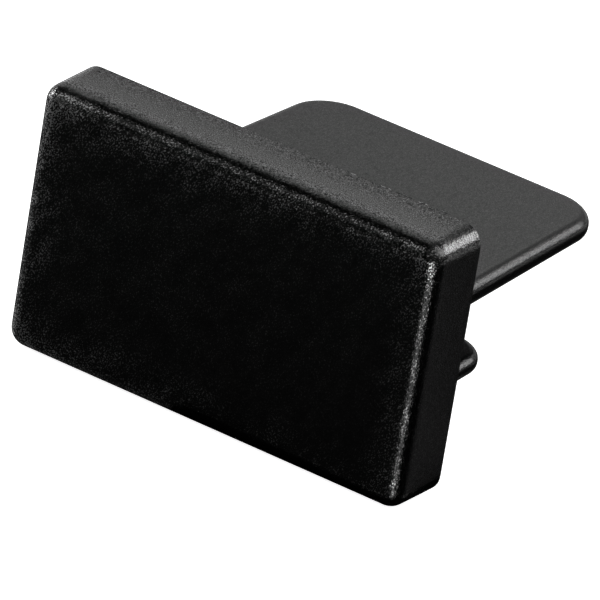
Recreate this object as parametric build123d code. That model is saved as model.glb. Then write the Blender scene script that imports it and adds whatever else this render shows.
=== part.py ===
from build123d import *
import math
import os

# End cap for a rectangular tube, moulded in one piece in black plastic.
# Millimetres. The origin is the middle of the plate's back face, which seats on the tube's end.
# +Y points into the tube, +Z is up, and +X is to the right when the cap is seen from outside.

# Cover plate
plate_width = 25.0
plate_height = 15.25
plate_thickness = 3.95
plate_corner_radius = 1.12
plate_face_radius = 1.02
plate_draft = 1.1

# Long tongue
long_width = 19.9
long_length = 18.85
long_thickness = 1.45
long_tip_radius = 2.7
long_height = 1.04

# Short tongue
short_width = 19.9
short_length = 8.4
short_thickness = 1.15
short_tip_radius = 2.1
short_height = -3.47

# Both tongues
side_taper = 2.25
thickness_taper = 0.15
edge_land = 0.04
root_radius = 0.3


def slope(degrees):
    """How far a drafted face moves sideways for each millimetre along the mould's pull."""
    return math.tan(math.radians(degrees))


def cover_plate():
    """The plate that shows: widest at its back edge, where the mould parts, with every front edge rounded over."""
    outline = Plane.XZ * RectangleRounded(plate_width, plate_height, plate_corner_radius)
    plate = extrude(outline, amount=plate_thickness, taper=plate_draft)
    front_face = plate.faces().sort_by(Axis.Y)[0]
    return fillet(front_face.edges(), plate_face_radius)


def tongue(width, length, thickness, tip_radius, height):
    """A flat tongue, drafted in width and thickness from the seat to its tip, with its edge rounded all the way round.

    Width and thickness are those at the seat. The tongue starts inside the plate, so that the two fuse cleanly.
    """
    start = -plate_thickness / 2
    half_width_start = width / 2 - start * slope(side_taper)
    half_width_tip = width / 2 - length * slope(side_taper)
    half_thickness_start = thickness / 2 - start * slope(thickness_taper)
    half_thickness_tip = thickness / 2 - length * slope(thickness_taper)

    plan = make_face(
        Polyline(
            (-half_width_start, start),
            (half_width_start, start),
            (half_width_tip, length),
            (-half_width_tip, length),
            close=True,
        )
    )
    plan = fillet(plan.vertices().sort_by(Axis.Y)[-2:], tip_radius)
    side = Plane.YZ * make_face(
        Polyline(
            (start, -half_thickness_start),
            (length, -half_thickness_tip),
            (length, half_thickness_tip),
            (start, half_thickness_start),
            close=True,
        )
    )
    blade = extrude(plan, amount=thickness, both=True) & extrude(side, amount=width, both=True)
    faces = blade.faces().sort_by(Axis.Z)
    rim = [edge for face in (faces[0], faces[-1]) for edge in face.edges().sort_by(Axis.Y)[1:]]
    blade = fillet(rim, half_thickness_tip - edge_land / 2)
    return Pos(0, 0, height) * blade


def end_cap():
    """Plate and tongues as one moulding, with a small fillet round the root of each tongue."""
    cap = cover_plate()
    cap += tongue(long_width, long_length, long_thickness, long_tip_radius, long_height)
    cap += tongue(short_width, short_length, short_thickness, short_tip_radius, short_height)
    seat = min(cap.faces(), key=lambda face: abs(face.center().Y))
    roots = [edge for wire in seat.inner_wires() for edge in wire.edges()]
    return fillet(roots, root_radius)


os.makedirs("parts", exist_ok=True)
export_step(end_cap(), "parts/end_cap.step")
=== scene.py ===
import math
import random

import bpy
from mathutils import Matrix, Vector


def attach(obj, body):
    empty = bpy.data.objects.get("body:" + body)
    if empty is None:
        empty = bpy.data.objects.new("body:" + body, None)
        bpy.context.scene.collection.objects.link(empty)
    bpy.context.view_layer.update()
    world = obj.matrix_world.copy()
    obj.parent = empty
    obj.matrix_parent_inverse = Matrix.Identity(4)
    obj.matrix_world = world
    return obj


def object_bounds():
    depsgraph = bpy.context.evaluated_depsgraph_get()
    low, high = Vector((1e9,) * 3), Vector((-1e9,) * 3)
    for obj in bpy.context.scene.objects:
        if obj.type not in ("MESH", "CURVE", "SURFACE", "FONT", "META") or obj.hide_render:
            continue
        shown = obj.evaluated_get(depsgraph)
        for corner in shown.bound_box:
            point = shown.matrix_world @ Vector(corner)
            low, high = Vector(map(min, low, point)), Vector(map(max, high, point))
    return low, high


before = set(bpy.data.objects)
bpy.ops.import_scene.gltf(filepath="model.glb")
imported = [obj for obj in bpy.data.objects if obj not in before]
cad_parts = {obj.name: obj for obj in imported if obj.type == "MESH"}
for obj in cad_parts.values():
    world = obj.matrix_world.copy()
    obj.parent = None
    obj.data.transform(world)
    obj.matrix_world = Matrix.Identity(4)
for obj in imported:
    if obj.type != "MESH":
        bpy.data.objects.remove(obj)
cad_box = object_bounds()
scene = bpy.context.scene
scene.view_settings.view_transform = "Standard"
MM = 0.001


# The camera stands well back with a long lens, a little above the cap and to the right of it,
# and is tilted sideways, so that the cap's upright edges lean to the right.
camera_azimuth = 30.0491
camera_elevation = 25.3263
camera_roll = 9.5441
camera_distance = 517.909 * MM
camera_lens = 604.522
camera_sensor = 36.0
aim_on_seat = Vector((2.5745, 0.0, -0.3163)) * MM


def toward(azimuth, elevation):
    """The direction from the cap to something. Azimuth 0 is in front of the cap, 90 to its right."""
    a, e = math.radians(azimuth), math.radians(elevation)
    return Vector((math.sin(a) * math.cos(e), -math.cos(a) * math.cos(e), math.sin(e)))


camera_data = bpy.data.cameras.new("camera")
camera_data.sensor_width = camera_sensor
camera_data.lens = camera_lens
camera = bpy.data.objects.new("camera", camera_data)
scene.collection.objects.link(camera)
scene.camera = camera
back = toward(camera_azimuth, camera_elevation)
level_right = Vector((0.0, 0.0, 1.0)).cross(back).normalized()
level_up = back.cross(level_right)
roll = math.radians(camera_roll)
right = level_right * math.cos(roll) + level_up * math.sin(roll)
up = level_up * math.cos(roll) - level_right * math.sin(roll)
turn = Matrix((right, up, back)).transposed().to_4x4()
camera.matrix_world = Matrix.Translation(aim_on_seat + back * camera_distance) @ turn


# The end cap is one moulding in black plastic, pushed into its tube by hand. The mould gave the
# plate's front a leather grain and its sides a finer one, and left the tongues nearly smooth. The
# skin shines most at the front's rim, and a painted highlight, a band of full gloss, runs along
# the top right long edge.
plastic_black = (0.0004, 0.0004, 0.0004, 1.0)
body_roughness = 0.6
skin_ior = 1.6
skin_roughness = 0.2
half_face = (12.42 * MM, 7.54 * MM)

# Where each finish starts and where it is full: the front's and the plate's by their place along
# Y, which is 0 on the seat and less in the plate, and the sides' by the distance from the top.
front_finish = (-3.0 * MM, -3.6 * MM)
plate_finish = (0.02 * MM, -0.05 * MM)
side_finish = (0.1 * MM, 0.5 * MM)

# The front's shine grows towards its rim and corners, falls to the lower right, and is patchy.
blotch_pitch = 0.9 * MM
blotch_detail = 3.0
blotch_roughness = 0.6
patch_noise = (0.35, 0.65)
patch_shine = (0.55, 1.05)
rim_wander = 2.0 * MM
rim_width = (3.0 * MM, 0.8 * MM)
rim_shine = (0.42, 1.2)
corner_width = (5.0 * MM, 1.6 * MM)
corner_shine = (1.0, 1.7)
slant_width = (-16.0 * MM, 12.0 * MM)
slant_shine = (0.5, 1.0)

# The grain's tops glint. The glints are drawn out a little and lean, and crowd where it shines.
glint_pitch = 0.066 * MM
glint_stretch = 1.7
glint_lean = 58
glint_noise = (0.54, 0.74)
glint_crowding = 0.07
valley_gloss = 0.072
valley_noise = (0.3, 0.7)
valley_share = (0.75, 1.05)

# The plate's top and sides and the tongues are plainer, with a fine mottle in their gloss.
fine_pitch = 0.055 * MM
# Painted light: the top's gloss rises from back to front, so that the top reads lighter at the front.
top_depth = (-0.3 * MM, -3.0 * MM)
top_gloss_with_painted_light = (0.46, 0.71)
mottle_depth = (-2.2 * MM, -3.1 * MM)
top_mottle = (2.7, 7.7)
side_gloss = 0.5
side_glints = 3.6
tongue_gloss = 0.415
tongue_mottle = 0.9

# A painted highlight: the skin is at full gloss in a band along the middle of the top right
# edge's rounding, where the soft box behind right draws its bright line.
highlight_gloss = 1.0
highlight_reach = (1.25 * MM, 0.6 * MM)
highlight_line = -4.96 * MM
highlight_band = (0.45 * MM, 0.2 * MM)

# The relief's depths are in millimetres, and its shares are for plain faces and for full ones.
grain_pitch = 0.1 * MM
grain_depth = 0.02
wave_pitch = 0.6 * MM
wave_depth = 0.04
wave_share = (0.3, 1.0)
relief_share = (0.8, 1.0)
pit_depth = 0.05


def place_node(tree, kind, **settings):
    """Adds a shader node and sets its own settings, such as a maths node's operation."""
    made = tree.nodes.new(kind)
    for name, value in settings.items():
        setattr(made, name, value)
    return made


def fill(tree, socket, value):
    """Puts a number, a colour or another node's output in a socket."""
    if isinstance(value, bpy.types.NodeSocket):
        tree.links.new(value, socket)
    else:
        socket.default_value = value


def feed(tree, made, **sockets):
    """Fills a node's sockets by their names, in which an underscore stands for a space."""
    for name, value in sockets.items():
        fill(tree, made.inputs[name.replace("_", " ")], value)
    return made


def maths(tree, operation, *terms):
    """A maths node's result."""
    made = place_node(tree, "ShaderNodeMath", operation=operation)
    for socket, term in zip(made.inputs, terms):
        fill(tree, socket, term)
    return made.outputs[0]


def blend(tree, share, first, second):
    """The first value where the share is 0, and the second where it is 1."""
    return maths(tree, "MULTIPLY_ADD", share, maths(tree, "SUBTRACT", second, first), first)


def ramp_of(tree, value, start, stop, low=0.0, high=1.0, smooth=True):
    """Where a value lies between start and stop, as a number from low to high."""
    kind = "SMOOTHSTEP" if smooth else "LINEAR"
    made = place_node(tree, "ShaderNodeMapRange", interpolation_type=kind)
    feed(tree, made, Value=value, From_Min=start, From_Max=stop, To_Min=low, To_Max=high)
    return made.outputs["Result"]


def noise_of(tree, vector, pitch, detail=0.0, roughness=0.5):
    """Cloud noise from 0 to 1, with a pitch in metres."""
    made = place_node(tree, "ShaderNodeTexNoise")
    feed(tree, made, Vector=vector, Scale=1 / pitch, Detail=detail, Roughness=roughness)
    return made.outputs["Fac"]


def swing_of(tree, vector, pitch):
    """Cloud noise that swings about 0."""
    return maths(tree, "SUBTRACT", noise_of(tree, vector, pitch, detail=1.0), 0.5)


def normal_of(tree, height):
    """The normal of a relief whose height is in millimetres."""
    made = place_node(tree, "ShaderNodeBump")
    feed(tree, made, Strength=1.0, Distance=MM, Height=height)
    return made.outputs["Normal"]


def skinned_plastic(name):
    """A dull black body under a glossy skin. How strong the skin is, is linked afterwards."""
    made = bpy.data.materials.new(name)
    made.use_nodes = True
    shader = made.node_tree.nodes["Principled BSDF"]
    feed(made.node_tree, shader, Base_Color=plastic_black, Roughness=body_roughness)
    feed(made.node_tree, shader, Specular_IOR_Level=0.0)
    feed(made.node_tree, shader, Coat_IOR=skin_ior, Coat_Roughness=skin_roughness)
    return made, shader


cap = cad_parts["end_cap"]
plastic, shader = skinned_plastic("black moulded plastic")
tree = plastic.node_tree
place = place_node(tree, "ShaderNodeTexCoord").outputs["Object"]
split = feed(tree, place_node(tree, "ShaderNodeSeparateXYZ"), Vector=place)
along_x = split.outputs["X"]
along_y = split.outputs["Y"]
along_z = split.outputs["Z"]
from_side = maths(tree, "SUBTRACT", half_face[0], maths(tree, "ABSOLUTE", along_x))
from_top = maths(tree, "SUBTRACT", half_face[1], maths(tree, "ABSOLUTE", along_z))
slant = maths(tree, "SUBTRACT", along_z, along_x)
on_front = ramp_of(tree, along_y, *front_finish)
on_plate = ramp_of(tree, along_y, *plate_finish)
on_side = ramp_of(tree, from_top, *side_finish)

leaning = place_node(tree, "ShaderNodeMapping", vector_type="TEXTURE")
feed(tree, leaning, Vector=place, Rotation=(0.0, -math.radians(glint_lean), 0.0))
feed(tree, leaning, Scale=(glint_stretch, 1.0, 1.0))
leaning = leaning.outputs["Vector"]
blotch = noise_of(tree, leaning, blotch_pitch, blotch_detail, blotch_roughness)
from_rim = maths(tree, "MINIMUM", from_side, from_top)
from_rim = maths(tree, "MULTIPLY_ADD", maths(tree, "SUBTRACT", blotch, 0.5), -rim_wander, from_rim)
from_corner = maths(tree, "ADD", from_side, from_top)
shine = ramp_of(tree, from_rim, *rim_width, *rim_shine)
shine = maths(tree, "MULTIPLY", shine, ramp_of(tree, blotch, *patch_noise, *patch_shine))
shine = maths(tree, "MULTIPLY", shine, ramp_of(tree, from_corner, *corner_width, *corner_shine))
shine = maths(tree, "MULTIPLY", shine, ramp_of(tree, slant, *slant_width, *slant_shine, smooth=False))

leather = noise_of(tree, leaning, glint_pitch, detail=1.0)
crowding = maths(tree, "MULTIPLY_ADD", shine, glint_crowding, -0.5 * glint_crowding)
glints = ramp_of(tree, maths(tree, "ADD", leather, crowding), *glint_noise)
valleys = ramp_of(tree, blotch, *valley_noise, *valley_share)
front_skin = maths(tree, "MULTIPLY", glints, shine)
front_skin = maths(tree, "MULTIPLY_ADD", valleys, valley_gloss, front_skin)

fine = swing_of(tree, place, fine_pitch)
mottle = ramp_of(tree, along_y, *mottle_depth, *top_mottle)
# The top's gloss, with painted light that makes it lighter towards the front.
top_skin = ramp_of(tree, along_y, *top_depth, *top_gloss_with_painted_light, smooth=False)
top_skin = maths(tree, "MULTIPLY_ADD", fine, mottle, top_skin)
side_skin = ramp_of(tree, leather, *glint_noise)
side_skin = maths(tree, "MULTIPLY_ADD", side_skin, side_glints, side_gloss)
plate_skin = blend(tree, on_side, top_skin, side_skin)

# Painted highlight: a band of full gloss along the top right edge's rounding.
from_top_right = maths(tree, "SUBTRACT", half_face[0] + half_face[1], along_x)
from_top_right = maths(tree, "SUBTRACT", from_top_right, along_z)
off_highlight_line = maths(tree, "ABSOLUTE", maths(tree, "SUBTRACT", slant, highlight_line))
painted_highlight = ramp_of(tree, from_top_right, *highlight_reach)
painted_highlight = maths(tree, "MULTIPLY", painted_highlight, ramp_of(tree, off_highlight_line, *highlight_band))
plate_skin = blend(tree, painted_highlight, plate_skin, highlight_gloss)

tongue_skin = maths(tree, "MULTIPLY_ADD", fine, tongue_mottle, tongue_gloss)
skin = blend(tree, on_plate, tongue_skin, plate_skin)
skin = blend(tree, on_front, skin, front_skin)
skin = ramp_of(tree, skin, 0.0, 1.0, smooth=False)

grain = maths(tree, "MULTIPLY", swing_of(tree, place, grain_pitch), grain_depth)
wave = maths(tree, "MULTIPLY", swing_of(tree, place, wave_pitch), wave_depth)
wave = maths(tree, "MULTIPLY", wave, ramp_of(tree, on_front, 0.0, 1.0, *wave_share, smooth=False))
share = ramp_of(tree, on_plate, 0.0, 1.0, *relief_share, smooth=False)
relief = maths(tree, "MULTIPLY", maths(tree, "ADD", grain, wave), share)
pitted = maths(tree, "MULTIPLY_ADD", skin, pit_depth, relief)
feed(tree, shader, Coat_Weight=skin, Normal=normal_of(tree, pitted), Coat_Normal=normal_of(tree, relief))
cap.material_slots[0].material = plastic


# A thin, broken flash of plastic stands back from the plate's top edge, where the mould parted.
# The moulding was not trimmed there. Its skin is dull, which paints in its shade, with a few glossy
# specks.
flash_from = 4.0 * MM
flash_to = 11.35 * MM
flash_step = 0.05 * MM
flash_reach = 0.15 * MM
flash_root = 0.05 * MM
flash_sink = 0.045 * MM
flash_top = 7.622 * MM
flash_gaps = ((5.2, 5.35), (8.0, 8.2))
flash_stub = 0.05
flash_start = 0.8
flash_change = 0.1
flash_least = 0.6
crest_place = 0.55
lip_height = 0.7
speck_pitch = 0.3 * MM
speck_noise = (0.56, 0.72)
shade_and_speck_gloss = (0.12, 1.0)
dice = random.Random(7)
points, faces = [], []
count = round((flash_to - flash_from) / flash_step)
tall = flash_start
low = flash_top - flash_sink
for k in range(count + 1):
    x = flash_from + k * flash_step
    tall = min(1.0, max(flash_least, tall + dice.uniform(-flash_change, flash_change)))
    broken = any(a < x / MM < b for a, b in flash_gaps) or k in (0, count)
    size = flash_stub if broken else tall
    points.append((x, -flash_root, low))
    points.append((x, flash_reach * crest_place * size, low + flash_sink * size))
    points.append((x, flash_reach * size, low + flash_sink * lip_height * size))
    points.append((x, -flash_root, low - flash_sink))
for k in range(count):
    for side in range(4):
        near, far = 4 * k + side, 4 * k + (side + 1) % 4
        faces.append((near, near + 4, far + 4, far))
faces.append((0, 1, 2, 3))
faces.append((4 * count + 3, 4 * count + 2, 4 * count + 1, 4 * count))
flash_mesh = bpy.data.meshes.new("parting flash")
flash_mesh.from_pydata(points, [], faces)
flash = bpy.data.objects.new("parting_flash", flash_mesh)
scene.collection.objects.link(flash)

flash_plastic, shader = skinned_plastic("thin black plastic")
tree = flash_plastic.node_tree
place = place_node(tree, "ShaderNodeTexCoord").outputs["Object"]
# Painted shade: a dull skin, with a few glossy specks.
painted_shade_with_specks = ramp_of(tree, noise_of(tree, place, speck_pitch), *speck_noise, *shade_and_speck_gloss)
feed(tree, shader, Coat_Weight=painted_shade_with_specks)
flash_mesh.materials.append(flash_plastic)
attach(flash, "root")


# The floor is a pale sheet that the plate's lower edge stands on. It shows white to the camera
# and in glossy reflections, and keeps the cap's soft shadow.
floor_half_size = 3.0
floor_white = (0.8, 0.8, 0.8, 1.0)
floor_glow = 0.9
floor_drop = 0.05 * MM
floor_height = cad_box[0][2] - floor_drop
white_light = (1.0, 1.0, 1.0, 1.0)
corners = [(-1, -1), (1, -1), (1, 1), (-1, 1)]


def matt_paint(name, colour, glow=0.0):
    """A dead matt finish for the studio, which may glow."""
    made = bpy.data.materials.new(name)
    made.use_nodes = True
    shader = made.node_tree.nodes["Principled BSDF"]
    feed(made.node_tree, shader, Base_Color=colour, Roughness=1.0, Specular_IOR_Level=0.0)
    feed(made.node_tree, shader, Emission_Color=white_light, Emission_Strength=glow)
    return made


def seen_directly(tree):
    """1 for what the camera, a glossy reflection or a see-through thing sees, and 0 for light."""
    path = place_node(tree, "ShaderNodeLightPath")
    seen = maths(tree, "MAXIMUM", path.outputs["Is Camera Ray"], path.outputs["Is Glossy Ray"])
    return maths(tree, "MAXIMUM", seen, path.outputs["Is Transmission Ray"])


floor_mesh = bpy.data.meshes.new("floor")
floor_points = [(x * floor_half_size, y * floor_half_size, floor_height) for x, y in corners]
floor_mesh.from_pydata(floor_points, [], [(0, 1, 2, 3)])
floor = bpy.data.objects.new("floor", floor_mesh)
scene.collection.objects.link(floor)
paper = matt_paint("floor paper", floor_white)
paper.cycles.emission_sampling = "NONE"
tree = paper.node_tree
glow = maths(tree, "MULTIPLY", seen_directly(tree), floor_glow)
feed(tree, tree.nodes["Principled BSDF"], Emission_Strength=glow)
floor_mesh.materials.append(paper)


# The backdrop is the world: white wherever the camera or a reflection sees it, and a low even
# light on everything else.
world_light = 0.5
world_seen = 1.0
world = bpy.data.worlds.new("white backdrop")
scene.world = world
world.use_nodes = True
tree = world.node_tree
level = ramp_of(tree, seen_directly(tree), 0.0, 1.0, world_light, world_seen, smooth=False)
feed(tree, tree.nodes["Background"], Color=white_light, Strength=level)


# A tent of black velvet stands round the cap, as when a glossy black thing is photographed. Only
# reflections see it. It is open behind the cap on the left, where the white backdrop shows in the
# tops of the plate and the tongue.
velvet_black = (0.001, 0.001, 0.001, 1.0)
tent_radius = 0.9
shell_step = 3
shell_foot = -10
window_azimuths = (201, 255)
window_top = 68
velvet = matt_paint("black velvet", velvet_black)


def seen_in_gloss_only(thing):
    """Marks a stage object that nothing but a glossy reflection sees."""
    thing.visible_camera = False
    thing.visible_diffuse = False
    thing.visible_transmission = False
    thing.visible_volume_scatter = False
    thing.visible_shadow = False


def shell(name, paint, radius, wanted):
    """A shell of small squares round the cap, wherever wanted says yes to azimuth and elevation."""
    points, faces = [], []
    for elevation in range(shell_foot, 90, shell_step):
        for azimuth in range(0, 360, shell_step):
            if not wanted(azimuth, elevation):
                continue
            first = len(points)
            for a, e in ((0, 0), (1, 0), (1, 1), (0, 1)):
                way = toward(azimuth + a * shell_step, elevation + e * shell_step)
                points.append(way * radius)
            faces.append((first, first + 1, first + 2, first + 3))
    mesh = bpy.data.meshes.new(name)
    mesh.from_pydata(points, [], faces)
    mesh.materials.append(paint)
    made = bpy.data.objects.new(name, mesh)
    scene.collection.objects.link(made)
    seen_in_gloss_only(made)


def outside_window(azimuth, elevation):
    """Whether the tent covers a direction."""
    return not (window_azimuths[0] <= azimuth < window_azimuths[1] and elevation < window_top)


shell("black_tent", velvet, tent_radius, outside_window)


# Glowing panels hang inside the tent, and only reflections see them. The two on the right show in
# the rounding of the front's right edge, the one on the left in that of its left edge, and the
# one above adds a trace of light to the upper one.
panel_radius = 0.8
panel_black = (0.0, 0.0, 0.0, 1.0)
# Each row: name, glow, azimuths from and to, elevations from and to.
glow_panels = (
    ("glow_panel_right", 5.0, 78, 132, 20, 74),
    ("glow_panel_right_high", 2.5, 0, 78, 32, 80),
    ("glow_panel_left", 20.0, 264, 291, -1, 26),
    ("glow_panel_top", 0.4, 0, 360, 68, 90),
)


def glow_panel(name, glow, left, right, low, high):
    """A glowing part of a shell, between two azimuths and two elevations."""
    def inside(azimuth, elevation):
        return left <= azimuth < right and low <= elevation < high

    paint = matt_paint(name.replace("_", " "), panel_black, glow)
    shell(name, paint, panel_radius, inside)


for row in glow_panels:
    glow_panel(*row)


# Cloth, velvet, felt and cards lie on the floor round the plate's foot, and only reflections see
# them. The dark ones keep the white floor out of the plate's front, sides and lower edges, and the
# pale ones put a little light in the front and in its left and right rims. The white card and
# the glowing card glow, though they are no lamps: painted light.
cloth = matt_paint("dark grey cloth", (0.16, 0.16, 0.16, 1.0))
grey_card = matt_paint("grey card", (0.64, 0.64, 0.64, 1.0))
white_card = matt_paint("white card", (0.8, 0.8, 0.8, 1.0), glow=0.5)
# Painted shade: the black felt and the floor velvet darken the floor in reflections, where it lies in
# the cap's shadow.
felt = matt_paint("black felt", (0.03, 0.03, 0.03, 1.0))
floor_shade_velvet = matt_paint("floor velvet", (0.008, 0.008, 0.008, 1.0))
glowing_card = matt_paint("glowing card", (0.0, 0.0, 0.0, 1.0), glow=18.0)
card_steps = 12
behind_cap = (12, 12)
left_foot = (-11.9, -3.3)
right_foot = (11.9, -3.3)


def floor_card(name, paint, foot, azimuth, half_angle, near, far, lift, rise=0):
    """A fan-shaped card on the floor that opens out from a foot point. Its far end may be bent up."""
    points, faces = [], []
    for k in range(card_steps + 1):
        side = toward(azimuth + half_angle * (2 * k / card_steps - 1), 0)
        for reach, height in ((near, 0), (far, 0), (far, rise)):
            spot = Vector((*foot, 0)) * MM + side * reach * MM
            points.append((spot.x, spot.y, floor_height + (lift + height) * MM))
    for k in range(card_steps):
        faces.append((3 * k, 3 * k + 1, 3 * k + 4, 3 * k + 3))
        if rise:
            faces.append((3 * k + 1, 3 * k + 2, 3 * k + 5, 3 * k + 4))
    mesh = bpy.data.meshes.new(name)
    mesh.from_pydata(points, [], faces)
    mesh.materials.append(paint)
    card = bpy.data.objects.new(name, mesh)
    scene.collection.objects.link(card)
    seen_in_gloss_only(card)


floor_card("floor_cloth", cloth, behind_cap, 0, 180, near=0, far=85, lift=0.02)
floor_card("grey_card_front", grey_card, behind_cap, 335, 32, near=0, far=85, lift=0.025)
floor_card("white_card_left", white_card, left_foot, 275, 30, near=1.0, far=90, lift=0.03)
floor_card("black_card_right", velvet, right_foot, 85, 27, near=0.5, far=90, lift=0.03)
# Painted shade, seen only in reflections: velvet at the plate's foot and felt beside and under the
# tongues, where the floor lies in the cap's shadow.
floor_card("painted_shade_velvet_under_plate", floor_shade_velvet, (12.9, -4.4), 224, 52, near=0, far=15, lift=0.045)
floor_card("painted_shade_felt_behind_right", felt, (13.5, 4), 167, 22, near=3.0, far=40, lift=0.035)
# Painted light: a card that glows brightly, though it is no lamp, and shows in the rounding of the
# front's right edge.
floor_card("glowing_card_right", glowing_card, right_foot, 39, 11, near=1.0, far=80, lift=0.04, rise=14)


# Soft boxes light the cap. The bright one behind it on the right draws the bright lines along the
# top right edge and the long tongue's edge, and three weaker ones beside it soften them. Two more
# behind the cap light its tops, and two in front on the left light the grain of its front.
def soft_box(name, azimuth, elevation, width, height, radiance, distance=0.5, roll=0):
    """An area lamp that faces the cap. Its width and height are in degrees, as the cap sees them."""
    data = bpy.data.lights.new(name, "AREA")
    data.shape = "RECTANGLE"
    data.size = 2 * distance * math.tan(math.radians(width / 2))
    data.size_y = 2 * distance * math.tan(math.radians(height / 2))
    data.energy = radiance * data.size * data.size_y * math.pi
    lamp = bpy.data.objects.new(name, data)
    way = toward(azimuth, elevation)
    facing = way.to_track_quat("Z", "Y").to_matrix().to_4x4()
    facing = facing @ Matrix.Rotation(math.radians(roll), 4, "Z")
    lamp.matrix_world = Matrix.Translation(way * distance) @ facing
    lamp.visible_camera = False
    scene.collection.objects.link(lamp)


far_back = 0.85
soft_box("soft box behind right", 150.0, 23, 16, 26, radiance=9.2, distance=far_back, roll=-25)
soft_box("second soft box behind right", 165, 33, 16, 10, radiance=2.2, distance=far_back)
soft_box("weak soft box behind right", 141, 3, 14, 16, radiance=0.16, distance=far_back)
soft_box("weak soft box behind", 184, 12, 34, 30, radiance=0.65, distance=far_back)
soft_box("soft box behind", 180, 34, 44, 20, radiance=0.8)
soft_box("soft box behind left", 220, 46, 50, 36, radiance=0.36)
soft_box("soft box front left", 318, 39, 22, 24, radiance=5.2)
soft_box("weak soft box front left", 322, 14, 24, 36, radiance=0.9)
